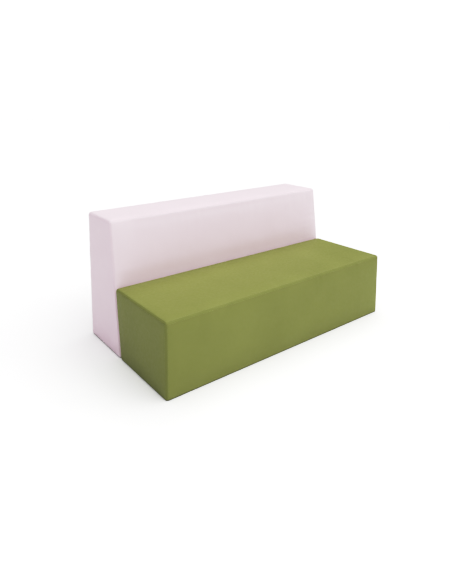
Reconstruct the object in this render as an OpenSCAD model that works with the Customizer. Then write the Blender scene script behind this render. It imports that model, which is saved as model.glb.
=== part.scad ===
// Two-block foam bench for children. A low seat block and a tall back block meet at a joint that
// leans back, where hook and loop strips hold them together. Each block is cut foam in a zipped
// cover of sewn panels that stands on a non-slip base cloth.
// The origin is on the floor at the middle of the footprint. X runs along the bench, the seat
// faces -Y and Z is up.

/* [Overall] */
// Length of both blocks, end to end
bench_length = 1300; // [900:10:1600]
// Depth from the front of the seat to the rear of the back
bench_depth = 700; // [580:10:860]
// Height of the back block
back_height = 600; // [450:10:800]
// Height of the seat block
seat_height = 310; // [255:5:400]
// Depth of the seat block at the floor
seat_depth = 390; // [320:5:480]
// Lean of the joint between the blocks, in degrees from upright
joint_lean = 6.65; // [0:0.05:12]

/* [Covers] */
// Thickness of the coated cover cloth
cover_t = 1.2; // [0.8:0.1:2]
// Thickness of the non-slip base cloth
base_t = 1.5; // [1:0.1:3]
// Radius of the covers' long top edges
edge_r = 15; // [6:1:25]

/* [Foam] */
// Height of the firm lower layer of the seat, from the floor
firm_h = 200; // [120:5:250]

/* [Hook and loop] */
// Width of each strip
strip_w = 50; // [25:5:75]
// Distance from each strip's end to the end of the bench
strip_margin = 50; // [20:5:150]
// Distance from the top of the seat down to the upper strips
strip_drop = 52; // [35:1:65]
// Distance from the zip's tape up to the lower strips
strip_rise = 20; // [10:1:40]
// Thickness of the loop pile tape on the seat
loop_t = 2; // [1.2:0.1:3]
// Thickness of the hook tape on the back
hook_t = 1.6; // [1:0.1:3]
// Free play between hooks and loops before they grip
strip_play = 0.3; // [0.2:0.05:0.6]

/* [Zips] */
// Height of the zips' middle above the floor, measured up the face
zip_up = 60; // [40:1:80]
// Distance from each end of a zip to the end of the bench
zip_margin = 50; // [30:5:150]
// Width of the opening between the cover panels
zip_opening = 14; // [13:0.5:18]
// Width of one zip tape
tape_w = 16; // [12:0.5:20]
// Thickness of a zip tape
tape_t = 0.6; // [0.4:0.1:1]
// Width of one coil row
coil_w = 3; // [2.4:0.1:3.8]
// Thickness of the coil rows
coil_t = 2.4; // [1.8:0.1:3]
// Gap between the two coil rows
coil_gap = 1.4; // [1.1:0.1:1.8]
// Length of a zip slider
slider_l = 14; // [11:0.5:18]
// Thickness of a slider's plates
plate_t = 1; // [0.8:0.1:1.2]
// Length of the pull tab beyond the slider's bail
pull_l = 30; // [20:1:45]
// Width of the pull tab
pull_w = 8; // [7:0.5:12]
// Diameter of the pull's cross bar, which is the tab's thickness too
bar_d = 1.4; // [1:0.1:2]

/* [Hidden] */
$fn = 48;

// Colours
OLIVE = "#7d804f";
PINK = "#e9dbe4";
FIRM_FOAM = "#e3cf8f";
SOFT_FOAM = "#f1e8c8";
BASE_CLOTH = "#3c3d40";
TAPE = "#5f6340";
PINK_TAPE = "#c9b9c4";
COIL = "#7c7f55";
PINK_COIL = "#dccdd6";
METAL = "#a9abad";
LOOP = "#55583a";
HOOK = "#b7a9b2";

// Clearances
slide_gap = 0.2;     // around whatever a slider runs past
groove_gap = 0.4;    // between a zip and the foam behind it
arc_steps = 6;       // straight steps in half of a rounded corner

// Places along the bench
half = bench_length / 2;
zip_half = half - zip_margin;
strip_half = half - strip_margin;

// Places in depth, front to rear, at floor level
front_y = -bench_depth / 2;
rear_y = bench_depth / 2;
joint_gap = loop_t + hook_t + strip_play;
half_gap = joint_gap / 2 / cos(joint_lean);
joint_y = front_y + seat_depth;
seat_rear_y = joint_y - half_gap;
back_front_y = joint_y + half_gap;

// Outlines of the covers in depth and height, from the base cloth up. The sides are numbered from
// the point they start at: 0 the base, 1 the rear, 2 the top and 3 the front.
REAR = 1;
TOP = 2;
FRONT = 3;
function lean_y(foot, z) = foot + z * tan(joint_lean);
seat_outline = [[front_y, base_t], [lean_y(seat_rear_y, base_t), base_t],
    [lean_y(seat_rear_y, seat_height), seat_height], [front_y, seat_height]];
back_outline = [[lean_y(back_front_y, base_t), base_t], [rear_y, base_t],
    [rear_y, back_height], [lean_y(back_front_y, back_height), back_height]];
skin = [0, cover_t, cover_t, cover_t];
outer_r = [0, 0, edge_r, edge_r];
inner_r = [0, 0, edge_r - cover_t, edge_r - cover_t];

// Zip sizes, measured outward from the face of the cover
tape_in = coil_gap / 2;
coil_top = coil_t - cover_t;
stop_l = 4;
stop_w = coil_w + 0.4;
plate_low = -cover_t - tape_t - slide_gap;
plate_high = coil_top + slide_gap;
flange_in = tape_in + coil_w + 0.5;
flange_w = 1.2;
slider_w = 2 * (flange_in + flange_w);
neck_l = 5;
groove_w = 2 * (tape_in + tape_w) + 2;
groove_floor = plate_low - plate_t - groove_gap;
slider_rest = zip_half - stop_l - slider_l / 2 - 0.5;
bail_l = 9;
bail_w = 2;
bail_t = 1;
bar_up = plate_high + plate_t + slide_gap + bar_d / 2;
bail_top = bar_up + bar_d / 2 + slide_gap + bail_t;
eye_w = bail_w + 1;
eye_l = bail_l / 2 + 0.7;
arm_w = 1.3;

// Unit vector from point a to point b
function toward(a, b) = (b - a) / norm(b - a);

// Outline p with side i moved inward by d[i]
function inset(p, d) = [for (i = [0 : len(p) - 1])
    let (n = len(p), before = (i + n - 1) % n,
        a = toward(p[before], p[i]), b = toward(p[i], p[(i + 1) % n]))
    p[i] + (d[before] * b - d[i] * a) / cross(a, b)];

// Part of the rounded corner i of outline p, from share s0 to share s1 of its arc
function corner(p, i, r, s0, s1) =
    let (n = len(p), v = p[i], a = toward(p[(i + n - 1) % n], v), b = toward(v, p[(i + 1) % n]),
        turn = acos(a * b), start = atan2(-a.x, a.y),
        centre = v + (b - a) / norm(b - a) * r / cos(turn / 2))
    r == 0 ? [v] : [for (k = [0 : arc_steps])
        let (angle = start + turn * (s0 + (s1 - s0) * k / arc_steps))
        centre + r * [cos(angle), sin(angle)]];

// The whole of outline p with its corners rounded to the radii r
function rounded(p, r) = [for (i = [0 : len(p) - 1]) each corner(p, i, r[i], 0, 1)];

// The path along side i of outline p, from the middle of one corner to the middle of the next
function side_path(p, i, r) =
    let (j = (i + 1) % len(p)) concat(corner(p, i, r[i], 0.5, 1), corner(p, j, r[j], 0, 0.5));

function reversed(p) = [for (i = [len(p) - 1 : -1 : 0]) p[i]];

// Section of the cover panel on side i of outline p
function panel_section(p, i) =
    concat(side_path(p, i, outer_r), reversed(side_path(inset(p, skin), i, inner_r)));

// Extrudes a section drawn in depth and height along the bench, from x0 to x1
module along(x0, x1) {
    translate([x0, 0, 0]) rotate([90, 0, 90]) linear_extrude(height = x1 - x0) children();
}

// Moves flat work onto a rear face that meets the floor at foot: x runs along the face to the
// bench's left, y up the face and z straight out of it
module on_face(foot, lean) {
    translate([0, foot, 0]) rotate([-lean, 0, 0]) rotate([90, 0, 180]) children();
}

module on_seat_rear() {
    on_face(seat_rear_y, joint_lean) children();
}

module on_back_rear() {
    on_face(rear_y, 0) children();
}

// A block centred on x, from y0 to y1 and z0 to z1
module slab(length, y0, y1, z0, z1) {
    translate([-length / 2, y0, z0]) cube([length, y1 - y0, z1 - z0]);
}

// Foam that fills outline p between the heights z0 and z1
module foam(p, z0, z1) {
    along(-half + cover_t, half - cover_t) intersection() {
        polygon(rounded(inset(p, skin), inner_r));
        translate([front_y, z0]) square([bench_depth, z1 - z0]);
    }
}

// The shallow groove that a zip lies in, behind the cover
module zip_groove() {
    slab(bench_length, zip_up - groove_w / 2, zip_up + groove_w / 2, groove_floor, 0);
}

// A cover panel on side i of outline p, between the end panels
module panel(p, i) {
    along(-half + cover_t, half - cover_t) polygon(panel_section(p, i));
}

// Everything on a face up to the top of the zip's opening
module below_opening() {
    slab(bench_length + 2, -20, zip_up + zip_opening / 2, -10, 10);
}

// The hole that the zip shows through
module zip_hole() {
    slab(2 * zip_half, zip_up - zip_opening / 2, zip_up + zip_opening / 2 + 1, -10, 10);
}

// An end panel of outline p, from x0
module end_panel(p, x0) {
    along(x0, x0 + cover_t) polygon(rounded(p, outer_r));
}

// Base cloth under an outline, whose front and rear edges follow the covers above
module base_cloth(front_foot, rear_foot, front_lean, rear_lean) {
    along(-half, half) polygon([[front_foot, 0], [rear_foot, 0],
        [rear_foot + base_t * tan(rear_lean), base_t],
        [front_foot + base_t * tan(front_lean), base_t]]);
}

// Zip tapes, sewn under the panels on both sides of the opening
module zip_tapes() {
    for (low = [tape_in, -tape_in - tape_w])
        slab(2 * zip_half + 20, zip_up + low, zip_up + low + tape_w, -cover_t - tape_t, -cover_t);
}

// The two coil rows, one on the edge of each tape
module zip_coils() {
    for (low = [tape_in, -tape_in - coil_w])
        slab(2 * (zip_half - stop_l), zip_up + low, zip_up + low + coil_w, -cover_t, coil_top);
}

// Two stops at the closed end of the coils and one across both rows at the open end
module zip_stops() {
    for (low = [tape_in, -tape_in - stop_w])
        translate([-zip_half, zip_up + low, -cover_t]) cube([stop_l, stop_w, coil_t + 0.2]);
    translate([zip_half - stop_l, zip_up - tape_in - stop_w, -cover_t])
        cube([stop_l, 2 * (tape_in + stop_w), coil_t + 0.2]);
}

// Plan of a slider's plates: a broad front that narrows to the tail
module slider_plate() {
    w = slider_w / 2;
    linear_extrude(height = plate_t) polygon([
        [-slider_l / 2, -w + 2], [-slider_l / 2 + 2, -w], [slider_l / 2 - 3, -w],
        [slider_l / 2, -w + 1], [slider_l / 2, w - 1], [slider_l / 2 - 3, w],
        [-slider_l / 2 + 2, w], [-slider_l / 2, w - 2]]);
}

// Slider at rest: two plates around the coils, the neck between the rows and a flange each side
module zip_slider() {
    translate([-slider_rest, zip_up, 0]) {
        translate([0, 0, plate_high]) slider_plate();
        translate([0, 0, plate_low - plate_t]) slider_plate();
        translate([-slider_l / 2 + 1, -coil_gap / 2 + slide_gap, plate_low - plate_t / 2])
            cube([neck_l, coil_gap - 2 * slide_gap, plate_high - plate_low + plate_t]);
        for (low = [flange_in, -flange_in - flange_w])
            translate([-slider_l / 2 + 2, low, -cover_t + slide_gap])
                cube([slider_l - 5, flange_w, plate_high + plate_t / 2 + cover_t - slide_gap]);
    }
}

// The bail, an arch on top of the slider that holds the pull's cross bar
module zip_bail() {
    translate([-slider_rest, zip_up, 0]) difference() {
        slab(bail_l, -bail_w / 2, bail_w / 2, plate_high + plate_t / 2, bail_top);
        slab(bail_l - 2 * bail_t, -bail_w, bail_w, plate_high + plate_t, bail_top - bail_t);
    }
}

// Pull tab: a cross bar under the bail, two arms beside it and a round-ended tab
module zip_pull() {
    translate([-slider_rest, zip_up, bar_up]) {
        rotate([90, 0, 0]) cylinder(h = eye_w + 2 * arm_w, d = bar_d, center = true);
        translate([0, 0, -bar_d / 2]) linear_extrude(height = bar_d) {
            for (low = [eye_w / 2, -eye_w / 2 - arm_w])
                translate([0, low]) square([eye_l + 1, arm_w]);
            translate([eye_l, -pull_w / 2]) square([pull_l - eye_l - pull_w / 2, pull_w]);
            translate([pull_l - pull_w / 2, 0]) circle(d = pull_w);
        }
    }
}

// The hook or loop strips on the joint, between two distances out from the seat's rear face
module strips(z0, z1) {
    lower = zip_up + tape_in + tape_w + strip_rise;
    upper = seat_height / cos(joint_lean) - strip_drop - strip_w;
    for (low = [lower, upper])
        slab(2 * strip_half, low, low + strip_w, z0, z1);
}

module seat_foam_firm_layer() {
    color(FIRM_FOAM) difference() {
        foam(seat_outline, base_t, firm_h);
        on_seat_rear() zip_groove();
    }
}

module seat_foam_soft_layer() {
    color(SOFT_FOAM) foam(seat_outline, firm_h, seat_height);
}

module seat_base_cloth() {
    color(BASE_CLOTH) base_cloth(front_y, seat_rear_y, 0, joint_lean);
}

module seat_cover_top() {
    color(OLIVE) panel(seat_outline, TOP);
}

module seat_cover_front() {
    color(OLIVE) panel(seat_outline, FRONT);
}

module seat_cover_left() {
    color(OLIVE) end_panel(seat_outline, -half);
}

module seat_cover_right() {
    color(OLIVE) end_panel(seat_outline, half - cover_t);
}

module seat_cover_rear() {
    color(OLIVE) difference() {
        panel(seat_outline, REAR);
        on_seat_rear() below_opening();
    }
}

module seat_cover_hem() {
    color(OLIVE) intersection() {
        panel(seat_outline, REAR);
        on_seat_rear() difference() {
            below_opening();
            zip_hole();
        }
    }
}

module seat_zip_tapes() {
    color(TAPE) on_seat_rear() zip_tapes();
}

module seat_zip_coils() {
    color(COIL) on_seat_rear() zip_coils();
}

module seat_zip_stops() {
    color(METAL) on_seat_rear() zip_stops();
}

module seat_zip_slider() {
    color(METAL) on_seat_rear() zip_slider();
}

module seat_loop_strips() {
    color(LOOP) on_seat_rear() strips(0, loop_t);
}

module back_foam() {
    color(SOFT_FOAM) difference() {
        foam(back_outline, base_t, back_height);
        on_back_rear() zip_groove();
    }
}

module back_base_cloth() {
    color(BASE_CLOTH) base_cloth(back_front_y, rear_y, joint_lean, 0);
}

module back_cover_top() {
    color(PINK) panel(back_outline, TOP);
}

module back_cover_front() {
    color(PINK) panel(back_outline, FRONT);
}

module back_cover_left() {
    color(PINK) end_panel(back_outline, -half);
}

module back_cover_right() {
    color(PINK) end_panel(back_outline, half - cover_t);
}

module back_cover_rear() {
    color(PINK) difference() {
        panel(back_outline, REAR);
        on_back_rear() below_opening();
    }
}

module back_cover_hem() {
    color(PINK) intersection() {
        panel(back_outline, REAR);
        on_back_rear() difference() {
            below_opening();
            zip_hole();
        }
    }
}

module back_zip_tapes() {
    color(PINK_TAPE) on_back_rear() zip_tapes();
}

module back_zip_coils() {
    color(PINK_COIL) on_back_rear() zip_coils();
}

module back_zip_stops() {
    color(METAL) on_back_rear() zip_stops();
}

module back_zip_slider() {
    color(METAL) on_back_rear() {
        zip_slider();
        zip_bail();
    }
}

module back_zip_pull() {
    color(METAL) on_back_rear() zip_pull();
}

module back_hook_strips() {
    color(HOOK) on_seat_rear() strips(joint_gap - hook_t, joint_gap);
}

seat_foam_firm_layer();
seat_foam_soft_layer();
seat_base_cloth();
seat_cover_top();
seat_cover_front();
seat_cover_left();
seat_cover_right();
seat_cover_rear();
seat_cover_hem();
seat_zip_tapes();
seat_zip_coils();
seat_zip_stops();
seat_zip_slider();
seat_loop_strips();
back_foam();
back_base_cloth();
back_cover_top();
back_cover_front();
back_cover_left();
back_cover_right();
back_cover_rear();
back_cover_hem();
back_zip_tapes();
back_zip_coils();
back_zip_stops();
back_zip_slider();
back_zip_pull();
back_hook_strips();
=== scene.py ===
import math

import bmesh
import bpy
from mathutils import Matrix, Vector, kdtree, noise
from mathutils.bvhtree import BVHTree


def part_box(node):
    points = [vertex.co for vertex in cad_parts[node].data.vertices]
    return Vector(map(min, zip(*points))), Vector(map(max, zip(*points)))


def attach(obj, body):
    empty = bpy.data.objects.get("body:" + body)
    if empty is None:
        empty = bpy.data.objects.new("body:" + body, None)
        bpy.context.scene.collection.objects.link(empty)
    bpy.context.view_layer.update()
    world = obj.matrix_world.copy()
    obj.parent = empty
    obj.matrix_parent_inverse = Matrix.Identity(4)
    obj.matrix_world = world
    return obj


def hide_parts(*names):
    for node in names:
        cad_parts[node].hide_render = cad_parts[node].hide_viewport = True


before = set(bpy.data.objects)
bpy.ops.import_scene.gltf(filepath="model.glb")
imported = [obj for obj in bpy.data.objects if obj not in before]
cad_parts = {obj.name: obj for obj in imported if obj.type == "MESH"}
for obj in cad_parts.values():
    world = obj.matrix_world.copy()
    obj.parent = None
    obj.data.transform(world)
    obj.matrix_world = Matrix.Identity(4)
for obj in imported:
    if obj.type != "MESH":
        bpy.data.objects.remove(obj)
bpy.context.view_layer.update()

# ---------------------------------------------------------------- sizes, in metres
MM = 0.001
LEAN = math.radians(6.65)       # how far the joint leans back from upright
COVER = 1.2 * MM                # coated cover cloth
EDGE_R = 12 * MM                # long edges and end edges of the covers
HEM_R = 4.5 * MM                # edge where the covers meet the base cloth
CELL = 14 * MM                  # mesh size of the covers before they swell
CROWN = 4 * MM                  # the most that a cover stands proud of its foam
SLIP = 1.5 * MM                 # the most that a cover slides along its foam
PRESSURE = 4                    # the foam's push on the cover in the cloth simulation
FRAMES = 20                     # length of the cloth simulation
WAVES = ((6, 0.7), (17, 0.45))  # unevenness of the foam: waves a metre, height in mm
GATHER = 4.5                    # height of the deepest gathers at a seam, in mm
GATHER_REACH = 55 * MM          # how far gathers run in from a seam before they fade
SEAM_HALF = 1.6 * MM            # width of the valley on each side of a seam
SEAM_DEPTH = 0.9 * MM           # how far a seam is drawn in
STITCH_PITCH = 5 * MM
STITCH_LENGTH = 4 * MM
THREAD_R = 0.35 * MM
STITCH_INSET = 9 * MM           # topstitching, in from the outline of a panel
STRIP_WIDTH = 50 * MM           # hook and loop strips
STRIP_STITCH_INSET = 3 * MM     # stitching, in from the edge of a strip
ZIP_SLOT = 14 * MM              # the opening between the cover panels
BASE_LOFT = 1.3 * MM            # the base cloth fills up to the hem behind its edge
BASE_MARGIN = 2.5 * MM          # base cloth, in from the outside of the cover
FOAM_INSET = 3.6 * MM           # foam below the outside of the cover
GROOVE_W = 35 * MM              # shallow groove in the foam behind a zip
GROOVE_DEPTH = 1.2 * MM
COIL_PITCH = 1.6 * MM
COIL_WIRE_R = 0.4 * MM
COIL_RING_R = 1.2 * MM          # middle of a turn to the middle of its wire
COIL_ROW = 1.5 * MM             # each row of turns, off the middle of the zip
DOT_PITCH = 14 * MM
DOT_HEIGHT = 0.7 * MM
DOT_EDGE = 22 * MM              # outermost dots, in from the edge of the base
BRIGHTEST = 1.3                 # scene brightness that prints as pure white

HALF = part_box("seat_base_cloth")[1].x
BASE_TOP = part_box("seat_base_cloth")[1].z
SEAT_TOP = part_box("seat_cover_top")[1].z
BACK_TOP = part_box("back_cover_top")[1].z
FIRM_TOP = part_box("seat_foam_firm_layer")[1].z
ZIP_HALF = (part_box("back_zip_tapes")[1].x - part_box("back_zip_tapes")[0].x) / 2 - 10 * MM
ZIP_UP = sum(corner.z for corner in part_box("back_zip_coils")) / 2

LEFT, RIGHT, REAR, TOP, FRONT, BASE, HEM, HOLE = range(8)
PANEL_NAMES = {LEFT: "left", RIGHT: "right", REAR: "rear", TOP: "top", FRONT: "front", HEM: "hem"}


def leaned(y, z):
    """Where a line that starts at depth y on the base cloth has leaned to at height z."""
    return y + (z - BASE_TOP) * math.tan(LEAN)


def block(name, front, rear, front_leans, rear_leans, top):
    """One foam block: its outline as (front or rear, low or high) -> (depth, height)."""
    outline = {
        (False, False): (front, BASE_TOP),
        (True, False): (rear, BASE_TOP),
        (False, True): (leaned(front, top) if front_leans else front, top),
        (True, True): (leaned(rear, top) if rear_leans else rear, top),
    }
    return {"name": name, "outline": outline, "top": top, "rear_leans": rear_leans}


SEAT = block("seat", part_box("seat_cover_front")[0].y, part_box("seat_base_cloth")[1].y,
             False, True, SEAT_TOP)
BACK = block("back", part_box("back_cover_left")[0].y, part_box("back_base_cloth")[1].y,
             True, False, BACK_TOP)


# ---------------------------------------------------------------- materials
def linear(colour):
    """An sRGB hex colour as linear red, green, blue and alpha."""
    parts = [int(colour[i:i + 2], 16) / 255 for i in (1, 3, 5)]
    return [c / 12.92 if c < 0.04045 else ((c + 0.055) / 1.055) ** 2.4 for c in parts] + [1]


def add(tree, kind, settings=None, **links):
    """Adds a node. Settings are attributes, input values or a ramp's stops of position and
    colour; links name an input and its source."""
    made = tree.nodes.new(kind)
    for key, value in (settings or {}).items():
        if key == "stops":
            elements = made.color_ramp.elements
            while len(elements) < len(value):
                elements.new(0.5)
            for element, (position, colour) in zip(elements, value):
                element.position = position
                element.color = linear(colour) if isinstance(colour, str) else [colour] * 3 + [1]
        elif hasattr(made, key):
            setattr(made, key, value)
        else:
            made.inputs[key].default_value = value
    for key, source in links.items():
        tree.links.new(source, made.inputs[key.replace("_", " ")])
    return made


def new_material(name, **shader):
    """A material, its tree, its shader and Object coordinates."""
    material = bpy.data.materials.new(name)
    material.use_nodes = True
    tree = material.node_tree
    surface = tree.nodes["Principled BSDF"]
    for key, value in shader.items():
        surface.inputs[key.replace("_", " ")].default_value = value
    return material, tree, surface, add(tree, "ShaderNodeTexCoord").outputs["Object"]


def coated_cloth(name, low, middle, high):
    """Polyurethane-coated knit. The embossed grain breaks up its satin gloss, and the coating
    varies a little in tone from place to place."""
    material, tree, surface, place = new_material(name, Roughness=0.6, IOR=1.36)
    # The tone drifts over some 200 mm
    tone = add(tree, "ShaderNodeTexNoise", {"Scale": 5, "Detail": 4, "Roughness": 0.55},
               Vector=place)
    colour = add(tree, "ShaderNodeValToRGB", {"stops": [(0.3, low), (0.5, middle), (0.7, high)]},
                 Fac=tone.outputs["Fac"])
    tree.links.new(colour.outputs["Color"], surface.inputs["Base Color"])
    # Pebbles of the embossing are 1 mm across; they are drawn at 2.5 mm so that they show
    pebbles = add(tree, "ShaderNodeTexVoronoi",
                  {"Scale": 1 / (2.5 * MM), "feature": "SMOOTH_F1"}, Vector=place)
    # Slight orange peel of the coating, 12 mm across
    peel = add(tree, "ShaderNodeTexNoise", {"Scale": 1 / (12.5 * MM), "Detail": 2}, Vector=place)
    rough = add(tree, "ShaderNodeValToRGB", {"stops": [(0.3, 0.52), (0.7, 0.64)]},
                Fac=peel.outputs["Fac"])
    tree.links.new(rough.outputs["Color"], surface.inputs["Roughness"])
    soft = add(tree, "ShaderNodeBump", {"Strength": 0.25, "Distance": 0.4 * MM},
               Height=peel.outputs["Fac"])
    fine = add(tree, "ShaderNodeBump", {"Strength": 0.5, "Distance": 0.2 * MM},
               Height=pebbles.outputs["Distance"], Normal=soft.outputs["Normal"])
    tree.links.new(fine.outputs["Normal"], surface.inputs["Normal"])
    return material


def foam_material(name, low, high, cell):
    """Open-cell polyurethane foam, saw cut: a matt face full of cut cells, with painted shade that
    darkens the pits.
    Its cells are under 1 mm; they are drawn larger so that they show."""
    material, tree, surface, place = new_material(name, Roughness=0.95, IOR=1.45)
    cells = add(tree, "ShaderNodeTexVoronoi", {"Scale": 1 / cell}, Vector=place)
    # Painted shade: the colour darkens towards the middle of each cell, where the bump sinks into
    # a pit
    colour = add(tree, "ShaderNodeValToRGB", {"stops": [(0.1, low), (0.5, high)]},
                 Fac=cells.outputs["Distance"])
    tree.links.new(colour.outputs["Color"], surface.inputs["Base Color"])
    bump = add(tree, "ShaderNodeBump", {"Strength": 0.6, "Distance": 0.5 * MM},
               Height=cells.outputs["Distance"])
    tree.links.new(bump.outputs["Normal"], surface.inputs["Normal"])
    return material


def woven(name, low, high, pitch):
    """Woven polyester tape: fine ribs across a matt ribbon."""
    material, tree, surface, place = new_material(name, Roughness=0.8, IOR=1.5, Sheen_Weight=0.15)
    bands = 0.314 / pitch       # a wave texture repeats every 0.314 divided by its scale
    ribs = add(tree, "ShaderNodeTexWave",
               {"Scale": bands, "bands_direction": "X", "Distortion": 0.4}, Vector=place)
    picks = add(tree, "ShaderNodeTexWave", {"Scale": bands, "bands_direction": "Z"}, Vector=place)
    weave = add(tree, "ShaderNodeMath", {"operation": "MULTIPLY"})
    tree.links.new(ribs.outputs["Fac"], weave.inputs[0])
    tree.links.new(picks.outputs["Fac"], weave.inputs[1])
    colour = add(tree, "ShaderNodeValToRGB", {"stops": [(0.0, low), (1.0, high)]},
                 Fac=weave.outputs["Value"])
    tree.links.new(colour.outputs["Color"], surface.inputs["Base Color"])
    bump = add(tree, "ShaderNodeBump", {"Strength": 0.5, "Distance": 0.2 * MM},
               Height=weave.outputs["Value"])
    tree.links.new(bump.outputs["Normal"], surface.inputs["Normal"])
    return material


def nylon(name, low, high):
    """Nylon monofilament, heat set: smooth, with a soft plastic gloss."""
    material, tree, surface, place = new_material(name, Roughness=0.35, IOR=1.53)
    tone = add(tree, "ShaderNodeTexNoise", {"Scale": 300, "Detail": 1}, Vector=place)
    colour = add(tree, "ShaderNodeValToRGB", {"stops": [(0.35, low), (0.65, high)]},
                 Fac=tone.outputs["Fac"])
    tree.links.new(colour.outputs["Color"], surface.inputs["Base Color"])
    return material


def nickel_plate(name):
    """Die-cast zinc with a nickel plate: bright, a little grey, with tumbled softness."""
    material, tree, surface, place = new_material(name, Metallic=1.0)
    haze = add(tree, "ShaderNodeTexNoise", {"Scale": 500, "Detail": 3}, Vector=place)
    colour = add(tree, "ShaderNodeValToRGB", {"stops": [(0.3, "#a8a6a0"), (0.7, "#c4c3be")]},
                 Fac=haze.outputs["Fac"])
    tree.links.new(colour.outputs["Color"], surface.inputs["Base Color"])
    rough = add(tree, "ShaderNodeValToRGB", {"stops": [(0.3, 0.26), (0.7, 0.38)]},
                Fac=haze.outputs["Fac"])
    tree.links.new(rough.outputs["Color"], surface.inputs["Roughness"])
    return material


def pile(name, low, high, scale, gloss):
    """Nylon hook or loop tape: a dense nap, with painted shade that darkens it between its loops
    or hooks.
    """
    material, tree, surface, place = new_material(
        name, Roughness=gloss, IOR=1.53, Sheen_Weight=0.3, Sheen_Roughness=0.4)
    nap = add(tree, "ShaderNodeTexVoronoi", {"Scale": scale, "Randomness": 0.8}, Vector=place)
    # Painted shade: the colour darkens away from each loop or hook, in the hollows between them
    colour = add(tree, "ShaderNodeValToRGB", {"stops": [(0.05, high), (0.6, low)]},
                 Fac=nap.outputs["Distance"])
    tree.links.new(colour.outputs["Color"], surface.inputs["Base Color"])
    bump = add(tree, "ShaderNodeBump", {"Strength": 0.9, "Distance": 0.8 * MM, "invert": True},
               Height=nap.outputs["Distance"])
    tree.links.new(bump.outputs["Normal"], surface.inputs["Normal"])
    return material


def plain_matt(name, low, high, scale, rough):
    """Non-woven cloth, rubber or paint: matt, with a fine mottle."""
    material, tree, surface, place = new_material(name, Roughness=rough, IOR=1.5)
    mottle = add(tree, "ShaderNodeTexNoise", {"Scale": scale, "Detail": 5}, Vector=place)
    colour = add(tree, "ShaderNodeValToRGB", {"stops": [(0.3, low), (0.7, high)]},
                 Fac=mottle.outputs["Fac"])
    tree.links.new(colour.outputs["Color"], surface.inputs["Base Color"])
    bump = add(tree, "ShaderNodeBump", {"Strength": 0.3, "Distance": 0.2 * MM},
               Height=mottle.outputs["Fac"])
    tree.links.new(bump.outputs["Normal"], surface.inputs["Normal"])
    return material


OLIVE_CLOTH = coated_cloth("olive_coated_knit", "#797d48", "#7b7f4a", "#7d814c")
PINK_CLOTH = coated_cloth("lilac_pink_coated_knit", "#dbc9d2", "#ddcbd4", "#dfcdd6")
OLIVE_THREAD = nylon("olive_polyester_thread", "#767b48", "#858a52")
PINK_THREAD = nylon("pink_polyester_thread", "#d8c6d0", "#e3d3dc")
FIRM_FOAM = foam_material("firm_polyurethane_foam", "#b99a54", "#e2cd93", 2.2 * MM)
SOFT_FOAM = foam_material("soft_polyurethane_foam", "#cdbb8c", "#f2e9cd", 3 * MM)
BASE_CLOTH = plain_matt("needled_non_woven_base", "#2f3033", "#45474b", 700, 0.95)
RUBBER = plain_matt("dotted_grip_rubber", "#1c1d1f", "#26282b", 300, 0.7)
OLIVE_TAPE = woven("olive_woven_zip_tape", "#4f5334", "#6b7049", 1.6 * MM)
PINK_TAPE = woven("pink_woven_zip_tape", "#b9a8b3", "#d8cad3", 1.6 * MM)
OLIVE_COIL = nylon("olive_nylon_coil", "#6f734a", "#868b5b")
PINK_COIL = nylon("pink_nylon_coil", "#cdbcc7", "#e2d4dc")
NICKEL = nickel_plate("nickel_plated_zinc")
LOOP_PILE = pile("nylon_loop_pile", "#2f3120", "#666a44", 700, 0.9)
HOOK_TAPE = pile("nylon_hook_tape", "#85757f", "#cdbdc7", 600, 0.5)


# ---------------------------------------------------------------- making pieces
def object_from(bm, name, *materials):
    """A new object at the origin that holds bm."""
    mesh = bpy.data.meshes.new(name)
    bm.to_mesh(mesh)
    bm.free()
    for material in materials:
        mesh.materials.append(material)
    made = bpy.data.objects.new(name, mesh)
    bpy.context.scene.collection.objects.link(made)
    return made


def smooth(made, angle=35):
    """Smooth shading that keeps edges sharper than angle, in degrees."""
    with bpy.context.temp_override(object=made, active_object=made,
                                   selected_editable_objects=[made]):
        bpy.ops.object.shade_smooth_by_angle(angle=math.radians(angle))


def applied(made):
    """Applies all the modifiers of an object to its mesh."""
    depsgraph = bpy.context.evaluated_depsgraph_get()
    depsgraph.update()
    mesh = bpy.data.meshes.new_from_object(made.evaluated_get(depsgraph))
    made.modifiers.clear()
    made.data = mesh


def fit(made, body, slot, *nodes):
    """Hangs a finished piece on its body and hides the CAD nodes it stands for. Its slot is not
    used.
    """
    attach(made, body)
    if nodes:
        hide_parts(*nodes)
    return made


def block_form(outline, half, radius, base_radius, cell):
    """A closed block over an outline, with rounded edges and long faces cut into cells."""
    bm = bmesh.new()
    bmesh.ops.create_cube(bm, size=2)
    for v in bm.verts:
        y, z = outline[(v.co.y > 0, v.co.z > 0)]
        v.co = (v.co.x * half, y, z)
    middle = sum(v.co.z for v in bm.verts) / len(bm.verts)
    upper = [e for e in bm.edges if any(v.co.z > middle for v in e.verts)]
    bmesh.ops.bevel(bm, geom=upper, affect="EDGES", offset=radius, offset_type="OFFSET",
                    segments=4, profile=0.5, material=-1)
    under = [f for f in bm.faces if f.normal.z < -0.9]
    bmesh.ops.bevel(bm, geom=under[0].edges[:], affect="EDGES", offset=base_radius,
                    offset_type="OFFSET", segments=2, profile=0.5, material=-1)
    for axis in range(3):
        along = [e for e in bm.edges if e.calc_length() > 3 * max(cell, radius)
                 and abs((e.verts[1].co - e.verts[0].co).normalized()[axis]) > 0.9]
        mean = sum(e.calc_length() for e in along) / len(along)
        bmesh.ops.subdivide_edges(bm, edges=along, cuts=max(1, round(mean / cell) - 1),
                                  use_grid_fill=True)
    bmesh.ops.recalc_face_normals(bm, faces=bm.faces[:])
    return bm


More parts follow.
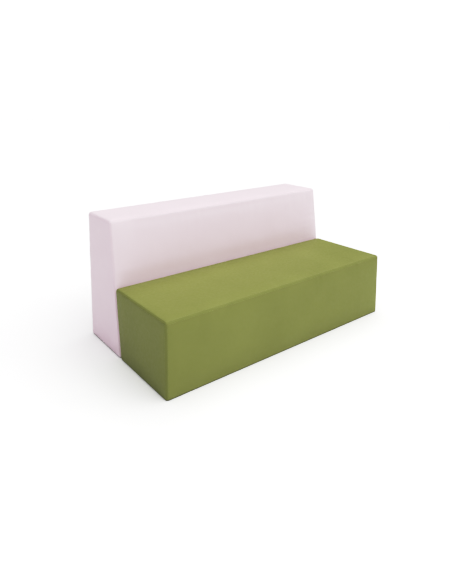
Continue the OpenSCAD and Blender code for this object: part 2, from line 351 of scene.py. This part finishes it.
def face_normals(shape):
    """Outward normals of the six sides of a block."""
    back = Vector((0, math.cos(LEAN), -math.sin(LEAN)))
    return {LEFT: Vector((-1, 0, 0)), RIGHT: Vector((1, 0, 0)), TOP: Vector((0, 0, 1)),
            BASE: Vector((0, 0, -1)),
            REAR: back if shape["rear_leans"] else Vector((0, 1, 0)),
            FRONT: Vector((0, -1, 0)) if shape["rear_leans"] else -back}


def tag_panels(bm, shape):
    """Marks each face with its panel; the seams run along the middle of the edges."""
    normals = face_normals(shape)
    for f in bm.faces:
        f.material_index = max(normals, key=lambda side: f.normal.dot(normals[side]))


def step(low, high, x):
    """0 below low, 1 above high and smooth between."""
    t = min(1, max(0, (x - low) / (high - low)))
    return t * t * (3 - 2 * t)


def freedom(shape, p):
    """How freely the cover may move at p: not at all on the joint, the base or around the zip."""
    (front, _), (rear, _) = shape["outline"][(False, False)], shape["outline"][(True, False)]
    up = step(BASE_TOP + 5 * MM, BASE_TOP + 70 * MM, p.z)
    if shape["rear_leans"]:
        return up * step(4 * MM, 60 * MM, leaned(rear, p.z) - p.y)
    joint = step(4 * MM, 60 * MM, p.y - leaned(front, p.z))
    above = step(SEAT_TOP + 5 * MM, SEAT_TOP + 80 * MM, p.z)
    zipped = step(10 * MM, 70 * MM, math.hypot(p.z - ZIP_UP, rear - p.y))
    return up * max(joint, above) * zipped


def swell(made, shape):
    """Cloth simulation: the cover fills out under the foam's push, up to a soft cap."""
    rest = [v.co.copy() for v in made.data.vertices]
    outward = [v.normal.copy() for v in made.data.vertices]
    sides = [set() for _ in rest]
    for face in made.data.polygons:
        for i in face.vertices:
            sides[i].add(face.material_index)
    held = made.vertex_groups.new(name="held")
    held.add([i for i, p in enumerate(rest) if len(sides[i]) > 1 or p.z < BASE_TOP + HEM_R],
             1, "REPLACE")
    cloth = made.modifiers.new("Cloth", "CLOTH")
    settings = cloth.settings
    settings.quality = 5
    settings.mass = 0.3
    settings.tension_stiffness = settings.compression_stiffness = 25
    settings.shear_stiffness = 10
    settings.bending_stiffness = 2
    settings.use_pressure = True
    settings.uniform_pressure_force = PRESSURE
    settings.vertex_group_mass = held.name
    settings.effector_weights.gravity = 0
    cloth.point_cache.frame_start, cloth.point_cache.frame_end = 1, FRAMES
    scene = bpy.context.scene
    for number in range(1, FRAMES + 1):
        scene.frame_set(number)
    moved = made.evaluated_get(bpy.context.evaluated_depsgraph_get()).data
    places = [v.co.copy() for v in moved.vertices]
    made.modifiers.clear()
    scene.frame_set(1)
    for v, start, normal, end in zip(made.data.vertices, rest, outward, places):
        push = end - start
        out = max(0, push.dot(normal))
        along = push - push.dot(normal) * normal
        move = normal * CROWN * math.tanh(out / CROWN)
        move += along * min(1, SLIP / max(along.length, 1e-9))
        v.co = start + move * freedom(shape, start)


def seam_verts(bm):
    """Vertices where two panels meet."""
    return [v for v in bm.verts if len({f.material_index for f in v.link_faces}) > 1]


def wrinkle(bm, shape, seed):
    """Broad unevenness of the foam, and short gathers that run in from the seams in clusters."""
    seams = seam_verts(bm)
    tree = kdtree.KDTree(len(seams))
    for i, v in enumerate(seams):
        tree.insert(v.co, i)
    tree.balance()
    bm.normal_update()
    shift = Vector((seed, seed * 0.7, seed * 1.3))
    moves = []
    for v in bm.verts:
        seam, _, far = tree.find(v.co)
        broad = sum(noise.noise(v.co * waves + shift) * height for waves, height in WAVES)
        cluster = max(0, noise.noise(seam * 7 + shift) + 0.15)
        gather = noise.noise(seam * 42 + shift) * cluster * GATHER
        fade = math.exp(-far / GATHER_REACH) * step(0, 10 * MM, far)
        moves.append((broad * step(0, 40 * MM, far) + gather * fade) * MM * freedom(shape, v.co))
    for v, move in zip(bm.verts, moves):
        v.co += v.normal * move


def cut(bm, faces, point, normal):
    """Cuts faces along a plane."""
    geom = set(faces)
    for f in faces:
        geom.update(f.edges)
        geom.update(f.verts)
    bmesh.ops.bisect_plane(bm, geom=list(geom), plane_co=point, plane_no=normal, dist=1e-6)


def open_zip(bm, shape):
    """Cuts the opening for the zip in the rear panel and marks the hem below it."""
    up = Vector((0, math.sin(LEAN), math.cos(LEAN))) if shape["rear_leans"] else Vector((0, 0, 1))
    foot = shape["outline"][(True, False)][0]
    foot -= BASE_TOP * math.tan(LEAN) if shape["rear_leans"] else 0

    def rear():
        return [f for f in bm.faces if f.material_index in (REAR, HEM, HOLE)]

    for distance in (ZIP_UP - ZIP_SLOT / 2, ZIP_UP + ZIP_SLOT / 2):
        cut(bm, rear(), Vector((0, foot, 0)) + up * distance, up)
    for x in (-ZIP_HALF, ZIP_HALF):
        cut(bm, rear(), Vector((x, 0, 0)), Vector((1, 0, 0)))
    for f in rear():
        centre = f.calc_center_median()
        height = (centre - Vector((0, foot, 0))).dot(up)
        if height < ZIP_UP + ZIP_SLOT / 2:
            in_slot = height > ZIP_UP - ZIP_SLOT / 2 and abs(centre.x) < ZIP_HALF
            f.material_index = HOLE if in_slot else HEM
    bmesh.ops.delete(bm, geom=[f for f in bm.faces if f.material_index == HOLE], context="FACES")


def sink_seams(bm):
    """Gives every panel a narrow border and draws the seams in between them."""
    for side in PANEL_NAMES:
        faces = [f for f in bm.faces if f.material_index == side]
        bmesh.ops.inset_region(bm, faces=faces, thickness=SEAM_HALF, use_boundary=True,
                               use_even_offset=True)
    bm.normal_update()
    border = [v for v in seam_verts(bm) if all(f.material_index != BASE for f in v.link_faces)]
    border += [v for v in bm.verts if v.is_boundary and v not in border]
    for v in border:
        v.co -= v.normal * SEAM_DEPTH


def panel_piece(bm, side, name, material):
    """One panel of a cover as its own piece of cloth."""
    part = bm.copy()
    others = [f for f in part.faces if f.material_index != side]
    bmesh.ops.delete(part, geom=others, context="FACES")
    for f in part.faces:
        f.material_index = 0
        f.smooth = True
    made = object_from(part, name, material)
    cloth = made.modifiers.new("Cloth thickness", "SOLIDIFY")
    cloth.thickness = COVER
    cloth.offset = -1
    return made


def cover(shape, seed):
    """The whole sewn cover of a block as one surface, marked by panel."""
    bm = block_form(shape["outline"], HALF, EDGE_R, HEM_R, CELL)
    tag_panels(bm, shape)
    shell = object_from(bm, shape["name"] + "_cover_form")
    swell(shell, shape)
    shell.modifiers.new("Finer", "SUBSURF").levels = 1
    applied(shell)
    bm = bmesh.new()
    bm.from_mesh(shell.data)
    bpy.data.objects.remove(shell)
    wrinkle(bm, shape, seed)
    open_zip(bm, shape)
    sink_seams(bm)
    return bm


def sew_panels(shape, bm, material, slot):
    """Makes the six panels of a cover and hangs them on the block's body."""
    for side, word in PANEL_NAMES.items():
        made = panel_piece(bm, side, f"{shape['name']}_{word}_panel", material)
        fit(made, shape["name"], slot, f"{shape['name']}_cover_{word}")


# ---------------------------------------------------------------- thread
def stitched(name, rows, material, surface, crest=0.9):
    """Lockstitches along rows of (start, end), laid on surface, as one piece of thread.
    The crest is how far the middle of the thread lies over the surface, in thread radii."""
    curve = bpy.data.curves.new(name, "CURVE")
    curve.dimensions = "3D"
    curve.bevel_depth = THREAD_R
    curve.bevel_resolution = 1
    curve.use_fill_caps = True
    rises = ((0, -0.5), (0.2, crest), (0.8, crest), (1, -0.5))
    for start, end in rows:
        length = (end - start).length
        for i in range(int(length / STITCH_PITCH)):
            spline = curve.splines.new("POLY")
            spline.points.add(len(rises) - 1)
            for point, (share, rise) in zip(spline.points, rises):
                along = (i * STITCH_PITCH + share * STITCH_LENGTH) / length
                guide = start + (end - start) * along
                place, normal, _, _ = surface.find_nearest(guide)
                point.co = (*(place + normal * rise * THREAD_R), 1)
    thread = bpy.data.objects.new(name, curve)
    bpy.context.scene.collection.objects.link(thread)
    mesh = bpy.data.meshes.new_from_object(thread)
    bpy.data.objects.remove(thread)
    made = bpy.data.objects.new(name, mesh)
    mesh.materials.clear()
    mesh.materials.append(material)
    bpy.context.scene.collection.objects.link(made)
    return made


def quad_rows(corners, inset):
    """Four rows that run round inside a quadrilateral, at a distance from its sides."""
    rows = []
    for i in range(4):
        before, here, after, beyond = (corners[(i + k) % 4] for k in (-1, 0, 1, 2))
        along = (after - here).normalized()
        start = here + along * inset + (before - here).normalized() * inset
        end = after - along * inset + (beyond - after).normalized() * inset
        rows.append((start, end))
    return rows


def panel_corners(shape):
    """Corners of each panel on the sharp outline, as quadrilaterals."""
    o = shape["outline"]

    def at(side, rear, high):
        return Vector((side * HALF, *o[(rear, high)]))

    def at_height(side, height):
        (y0, z0), (y1, z1) = o[(True, False)], o[(True, True)]
        share = (height - z0) / (z1 - z0)
        return Vector((side * HALF, y0 + (y1 - y0) * share, height))

    slot_low, slot_high = ZIP_UP - ZIP_SLOT / 2, ZIP_UP + ZIP_SLOT / 2
    quads = [[at(s, False, False), at(s, True, False), at(s, True, True), at(s, False, True)]
             for s in (-1, 1)]
    quads.append([at(-1, False, True), at(1, False, True), at(1, True, True), at(-1, True, True)])
    quads.append([at(-1, False, False), at(1, False, False), at(1, False, True),
                  at(-1, False, True)])
    quads.append([at_height(-1, slot_high), at_height(1, slot_high), at(1, True, True),
                  at(-1, True, True)])
    quads.append([at(-1, True, False), at(1, True, False), at_height(1, slot_low),
                  at_height(-1, slot_low)])
    return quads


def topstitch(shape, bm, material, slot):
    """Topstitching along both sides of every seam of a cover."""
    rows = [row for quad in panel_corners(shape) for row in quad_rows(quad, STITCH_INSET)]
    made = stitched(shape["name"] + "_topstitching", rows, material, BVHTree.FromBMesh(bm))
    fit(made, shape["name"], slot)


# ---------------------------------------------------------------- foam
def inset_outline(shape, distance):
    """The outline of a block moved in by a distance, its foot clear of the base cloth."""
    moved = {}
    for (rear, up), (y, z) in shape["outline"].items():
        moved[(rear, up)] = (y - distance if rear else y + distance,
                             z - distance if up else z + BASE_LOFT)
    return moved


def foam_block(shape, name, material, low, high):
    """A foam block, or a layer of it between two heights; the lowest has the zip's groove."""
    bm = block_form(inset_outline(shape, FOAM_INSET), HALF - FOAM_INSET,
                    EDGE_R - FOAM_INSET, 1 * MM, 60 * MM)
    tag_panels(bm, shape)
    if low is None:
        for height in (ZIP_UP - GROOVE_W / 2, ZIP_UP + GROOVE_W / 2):
            rear = [f for f in bm.faces if f.material_index == REAR]
            cut(bm, rear, Vector((0, 0, height)), Vector((0, 0, 1)))
        rear = [f for f in bm.faces if f.material_index == REAR
                and abs(f.calc_center_median().z - ZIP_UP) < GROOVE_W / 2]
        bmesh.ops.inset_region(bm, faces=rear, thickness=1 * MM, depth=-GROOVE_DEPTH)
    for height, normal in ((low, Vector((0, 0, -1))), (high, Vector((0, 0, 1)))):
        if height is not None:
            bmesh.ops.bisect_plane(bm, geom=bm.verts[:] + bm.edges[:] + bm.faces[:],
                                   plane_co=Vector((0, 0, height)), plane_no=normal,
                                   clear_outer=True)
            bmesh.ops.holes_fill(bm, edges=[e for e in bm.edges if e.is_boundary])
    for f in bm.faces:
        f.material_index = 0
    made = object_from(bm, name, material)
    smooth(made, 40)
    return made


# ---------------------------------------------------------------- base cloths
def base_cloth(shape):
    """The non-slip base: a needled cloth with rounded corners and rows of rubber dots under it."""
    name = shape["name"]
    low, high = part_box(name + "_base_cloth")
    bm = bmesh.new()
    bmesh.ops.create_cube(bm, size=1)
    size = high - low
    thick = size.z + BASE_LOFT - DOT_HEIGHT
    bmesh.ops.scale(bm, vec=(size.x - 2 * BASE_MARGIN, size.y - 2 * BASE_MARGIN, thick),
                    verts=bm.verts)
    bmesh.ops.translate(bm, vec=((low.x + high.x) / 2, (low.y + high.y) / 2,
                                 low.z + DOT_HEIGHT + thick / 2), verts=bm.verts)
    corners = [e for e in bm.edges if abs(e.verts[0].co.z - e.verts[1].co.z) > 0.5 * MM]
    bmesh.ops.bevel(bm, geom=corners, affect="EDGES", offset=EDGE_R - 2 * MM,
                    offset_type="OFFSET", segments=6, profile=0.5, material=-1)
    cloth = object_from(bm, name + "_base", BASE_CLOTH)
    smooth(cloth)
    fit(cloth, name, "base_cloth", name + "_base_cloth")

    dots = bmesh.new()
    bmesh.ops.create_cone(dots, segments=10, radius1=2.2 * MM, radius2=2.8 * MM,
                          depth=DOT_HEIGHT, cap_ends=True)
    counts = [int((size[i] - 2 * DOT_EDGE) / DOT_PITCH) + 1 for i in (0, 1)]
    first = [(low[i] + high[i] - (counts[i] - 1) * DOT_PITCH) / 2 for i in (0, 1)]
    bmesh.ops.translate(dots, vec=(*first, low.z + DOT_HEIGHT / 2), verts=dots.verts)
    grip = object_from(dots, name + "_grip_dots", RUBBER)
    for axis in (0, 1):
        array = grip.modifiers.new("Dots", "ARRAY")
        array.count = counts[axis]
        array.use_relative_offset = False
        array.use_constant_offset = True
        array.constant_offset_displace = [DOT_PITCH * (axis == k) for k in range(3)]
    fit(grip, name, "base_cloth")


# ---------------------------------------------------------------- zips
def rear_frame(shape):
    """Matrix from flat work on the rear face (right, up, out) to the bench."""
    lean = LEAN if shape["rear_leans"] else 0
    foot = shape["outline"][(True, False)][0] - BASE_TOP * math.tan(lean)
    columns = (Vector((-1, 0, 0)), Vector((0, math.sin(lean), math.cos(lean))),
               Vector((0, math.cos(lean), -math.sin(lean))))
    turn = Matrix(columns).transposed().to_4x4()
    return Matrix.Translation((0, foot, 0)) @ turn


def zip_coils(shape, material, slot):
    """The two coil rows: rings of nylon that reach across the middle by turns."""
    name = shape["name"]
    low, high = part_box(name + "_zip_coils")
    place = rear_frame(shape)
    bm = bmesh.new()
    for side in (-1, 1):
        ring = bmesh.ops.create_circle(bm, segments=6, radius=COIL_WIRE_R,
                                       matrix=Matrix.Translation((0, COIL_RING_R, 0)))["verts"]
        edges = list({e for v in ring for e in v.link_edges})
        bmesh.ops.spin(bm, geom=ring + edges, cent=(0, 0, 0), axis=(1, 0, 0),
                       angle=2 * math.pi, steps=8, use_merge=True)
        loop = [v for v in bm.verts if not v.tag]
        # The turns are pressed into flat ovals
        bmesh.ops.scale(bm, vec=(0.95, 1.15, 0.66), verts=loop)
        bmesh.ops.translate(bm, vec=(side * COIL_PITCH / 4, ZIP_UP + side * COIL_ROW, 0),
                            verts=loop)
        for v in loop:
            v.tag = True
    bmesh.ops.remove_doubles(bm, verts=bm.verts, dist=1e-6)
    bmesh.ops.recalc_face_normals(bm, faces=bm.faces)
    bmesh.ops.transform(bm, matrix=place, verts=bm.verts)
    length = high.x - low.x
    count = int(length / COIL_PITCH)
    bmesh.ops.translate(bm, vec=(-(count - 1) * COIL_PITCH / 2, 0, 0), verts=bm.verts)
    for f in bm.faces:
        f.smooth = True
    made = object_from(bm, name + "_coil_rows", material)
    array = made.modifiers.new("Turns", "ARRAY")
    array.count = count
    array.use_relative_offset = False
    array.use_constant_offset = True
    array.constant_offset_displace = (COIL_PITCH, 0, 0)
    fit(made, name, slot, name + "_zip_coils")


def softened(node, name, material, radius):
    """A copy of a CAD node with its edges rounded over."""
    bm = bmesh.new()
    bm.from_mesh(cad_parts[node].data)
    bmesh.ops.remove_doubles(bm, verts=bm.verts, dist=1e-6)
    bmesh.ops.dissolve_limit(bm, angle_limit=math.radians(1), verts=bm.verts, edges=bm.edges)
    made = object_from(bm, name, material)
    edge = made.modifiers.new("Rounded edges", "BEVEL")
    edge.width = radius
    edge.segments = 2
    edge.limit_method = "ANGLE"
    edge.angle_limit = math.radians(30)
    smooth(made, 50)
    return made


def finish_node(node, material):
    """Gives a CAD node its material."""
    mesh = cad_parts[node].data
    mesh.materials.clear()
    mesh.materials.append(material)


def sew_strips(shape, made, node, material, slot):
    """Stitching round each strip of a hook or loop tape, sunk into its nap."""
    surface = BVHTree.FromObject(made, bpy.context.evaluated_depsgraph_get())
    place = rear_frame(SEAT)
    flat = place.inverted()
    ups = [(flat @ v.co).y for v in made.data.vertices]
    outs = [(flat @ v.co).z for v in made.data.vertices]
    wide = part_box(node)[1].x
    face = max(outs) if shape is SEAT else min(outs)
    half = STRIP_WIDTH / 2
    rows = []
    for middle in (min(ups) + half, max(ups) - half):
        corners = [place @ Vector((x, middle + y, face)) for x, y in
                   ((-wide, -half), (wide, -half), (wide, half), (-wide, half))]
        rows += quad_rows(corners, STRIP_STITCH_INSET)
    thread = stitched(made.name + "_stitching", rows, material, surface, crest=-0.4)
    fit(thread, shape["name"], slot)


def fastenings():
    """Zip tapes, coils, stops, sliders and pull, and the hook and loop strips."""
    finish_node("seat_zip_tapes", OLIVE_TAPE)
    finish_node("back_zip_tapes", PINK_TAPE)
    zip_coils(SEAT, OLIVE_COIL, "olive_zip_coil")
    zip_coils(BACK, PINK_COIL, "pink_zip_coil")
    for name in ("seat", "back"):
        fit(softened(name + "_zip_stops", name + "_stops", NICKEL, 0.3 * MM), name, "zip_metal",
            name + "_zip_stops")
        fit(softened(name + "_zip_slider", name + "_slider", NICKEL, 0.25 * MM),
            name + "_zip_slider", "zip_metal", name + "_zip_slider")
    fit(softened("back_zip_pull", "back_pull", NICKEL, 0.3 * MM), "back_zip_pull", "zip_metal",
        "back_zip_pull")
    loops = softened("seat_loop_strips", "seat_loop_tape", LOOP_PILE, 0.7 * MM)
    fit(loops, "seat", "loop_pile", "seat_loop_strips")
    sew_strips(SEAT, loops, "seat_loop_strips", OLIVE_THREAD, "loop_pile")
    hooks = softened("back_hook_strips", "back_hook_tape", HOOK_TAPE, 0.5 * MM)
    fit(hooks, "back", "hook_tape", "back_hook_strips")
    sew_strips(BACK, hooks, "back_hook_strips", PINK_THREAD, "hook_tape")


# ---------------------------------------------------------------- the bench
def build():
    """Both blocks, with their covers, foam, base cloths and fastenings."""
    looks = ((SEAT, OLIVE_CLOTH, "olive_cover_cloth", OLIVE_THREAD, 3.1),
             (BACK, PINK_CLOTH, "pink_cover_cloth", PINK_THREAD, 8.4))
    for shape, cloth, slot, thread, seed in looks:
        sewn = cover(shape, seed)
        sew_panels(shape, sewn, cloth, slot)
        topstitch(shape, sewn, thread, slot)
        sewn.free()
        base_cloth(shape)
    firm = foam_block(SEAT, "seat_firm_foam", FIRM_FOAM, None, FIRM_TOP)
    fit(firm, "seat", "firm_foam", "seat_foam_firm_layer")
    soft = foam_block(SEAT, "seat_soft_foam", SOFT_FOAM, FIRM_TOP, None)
    fit(soft, "seat", "soft_foam", "seat_foam_soft_layer")
    back = foam_block(BACK, "back_foam_block", SOFT_FOAM, None, None)
    fit(back, "back", "soft_foam", "back_foam")
    fastenings()


# ---------------------------------------------------------------- studio
def studio():
    """A pale floor, a white world and soft light from above and the front right."""
    bm = bmesh.new()
    bmesh.ops.create_grid(bm, x_segments=1, y_segments=1, size=30)
    floor = object_from(bm, "floor", plain_matt("pale_studio_floor", "#f7f7f7", "#fafafa", 2, 0.9))
    floor.location.z = -0.2 * MM
    world = bpy.data.worlds.new("white_studio")
    bpy.context.scene.world = world
    world.use_nodes = True
    tree = world.node_tree
    # The backdrop looks white, and lights the bench more softly than it looks
    ray = add(tree, "ShaderNodeLightPath")
    strength = add(tree, "ShaderNodeMapRange", {"To Min": 0.25, "To Max": 1.4},
                   Value=ray.outputs["Is Camera Ray"])
    tree.links.new(strength.outputs["Result"], tree.nodes["Background"].inputs["Strength"])
    tree.nodes["Background"].inputs["Color"].default_value = (1, 1, 1, 1)
    # One broad light from above, and a weaker one from the front right
    for name, place, broad, power in (("overhead", (0.22, -0.24, 1), 90, 3.9),
                                      ("front_right", (0.45, -0.8, 0.4), 60, 0.2)):
        light = bpy.data.lights.new(name, "SUN")
        light.angle = math.radians(broad)
        light.energy = power
        lamp = bpy.data.objects.new(name, light)
        lamp.location = Vector(place) * 3
        lamp.rotation_euler = (-Vector(place)).to_track_quat("-Z", "Y").to_euler()
        bpy.context.scene.collection.objects.link(lamp)
    # A print-like tone: firm mid tones, and highlights that roll off before they reach white
    settings = bpy.context.scene.view_settings
    settings.view_transform = "Standard"
    settings.use_curve_mapping = True
    tone = settings.curve_mapping
    tone.white_level = (BRIGHTEST,) * 3
    for place, value in ((0.1, 0.085), (0.19, 0.21), (0.25, 0.31), (0.5, 0.69), (0.75, 0.868)):
        tone.curves[3].points.new(place, value)
    tone.update()


def camera():
    """To the left of the bench and 1.1 m up, with the lens shifted down."""
    data = bpy.data.cameras.new("camera")
    made = bpy.data.objects.new("camera", data)
    azimuth, elevation = math.radians(-37.7), math.radians(7.18)
    target, distance = Vector((-0.1229, -0.025, 0.8346)), 2.3007
    away = Vector((math.sin(azimuth) * math.cos(elevation),
                   -math.cos(azimuth) * math.cos(elevation), math.sin(elevation)))
    made.location = target + away * distance
    made.rotation_euler = (-away).to_track_quat("-Z", "Y").to_euler()
    data.lens = 30.53
    data.sensor_width = 36
    data.shift_y = -0.22
    bpy.context.scene.collection.objects.link(made)
    bpy.context.scene.camera = made


camera()
studio()
build()
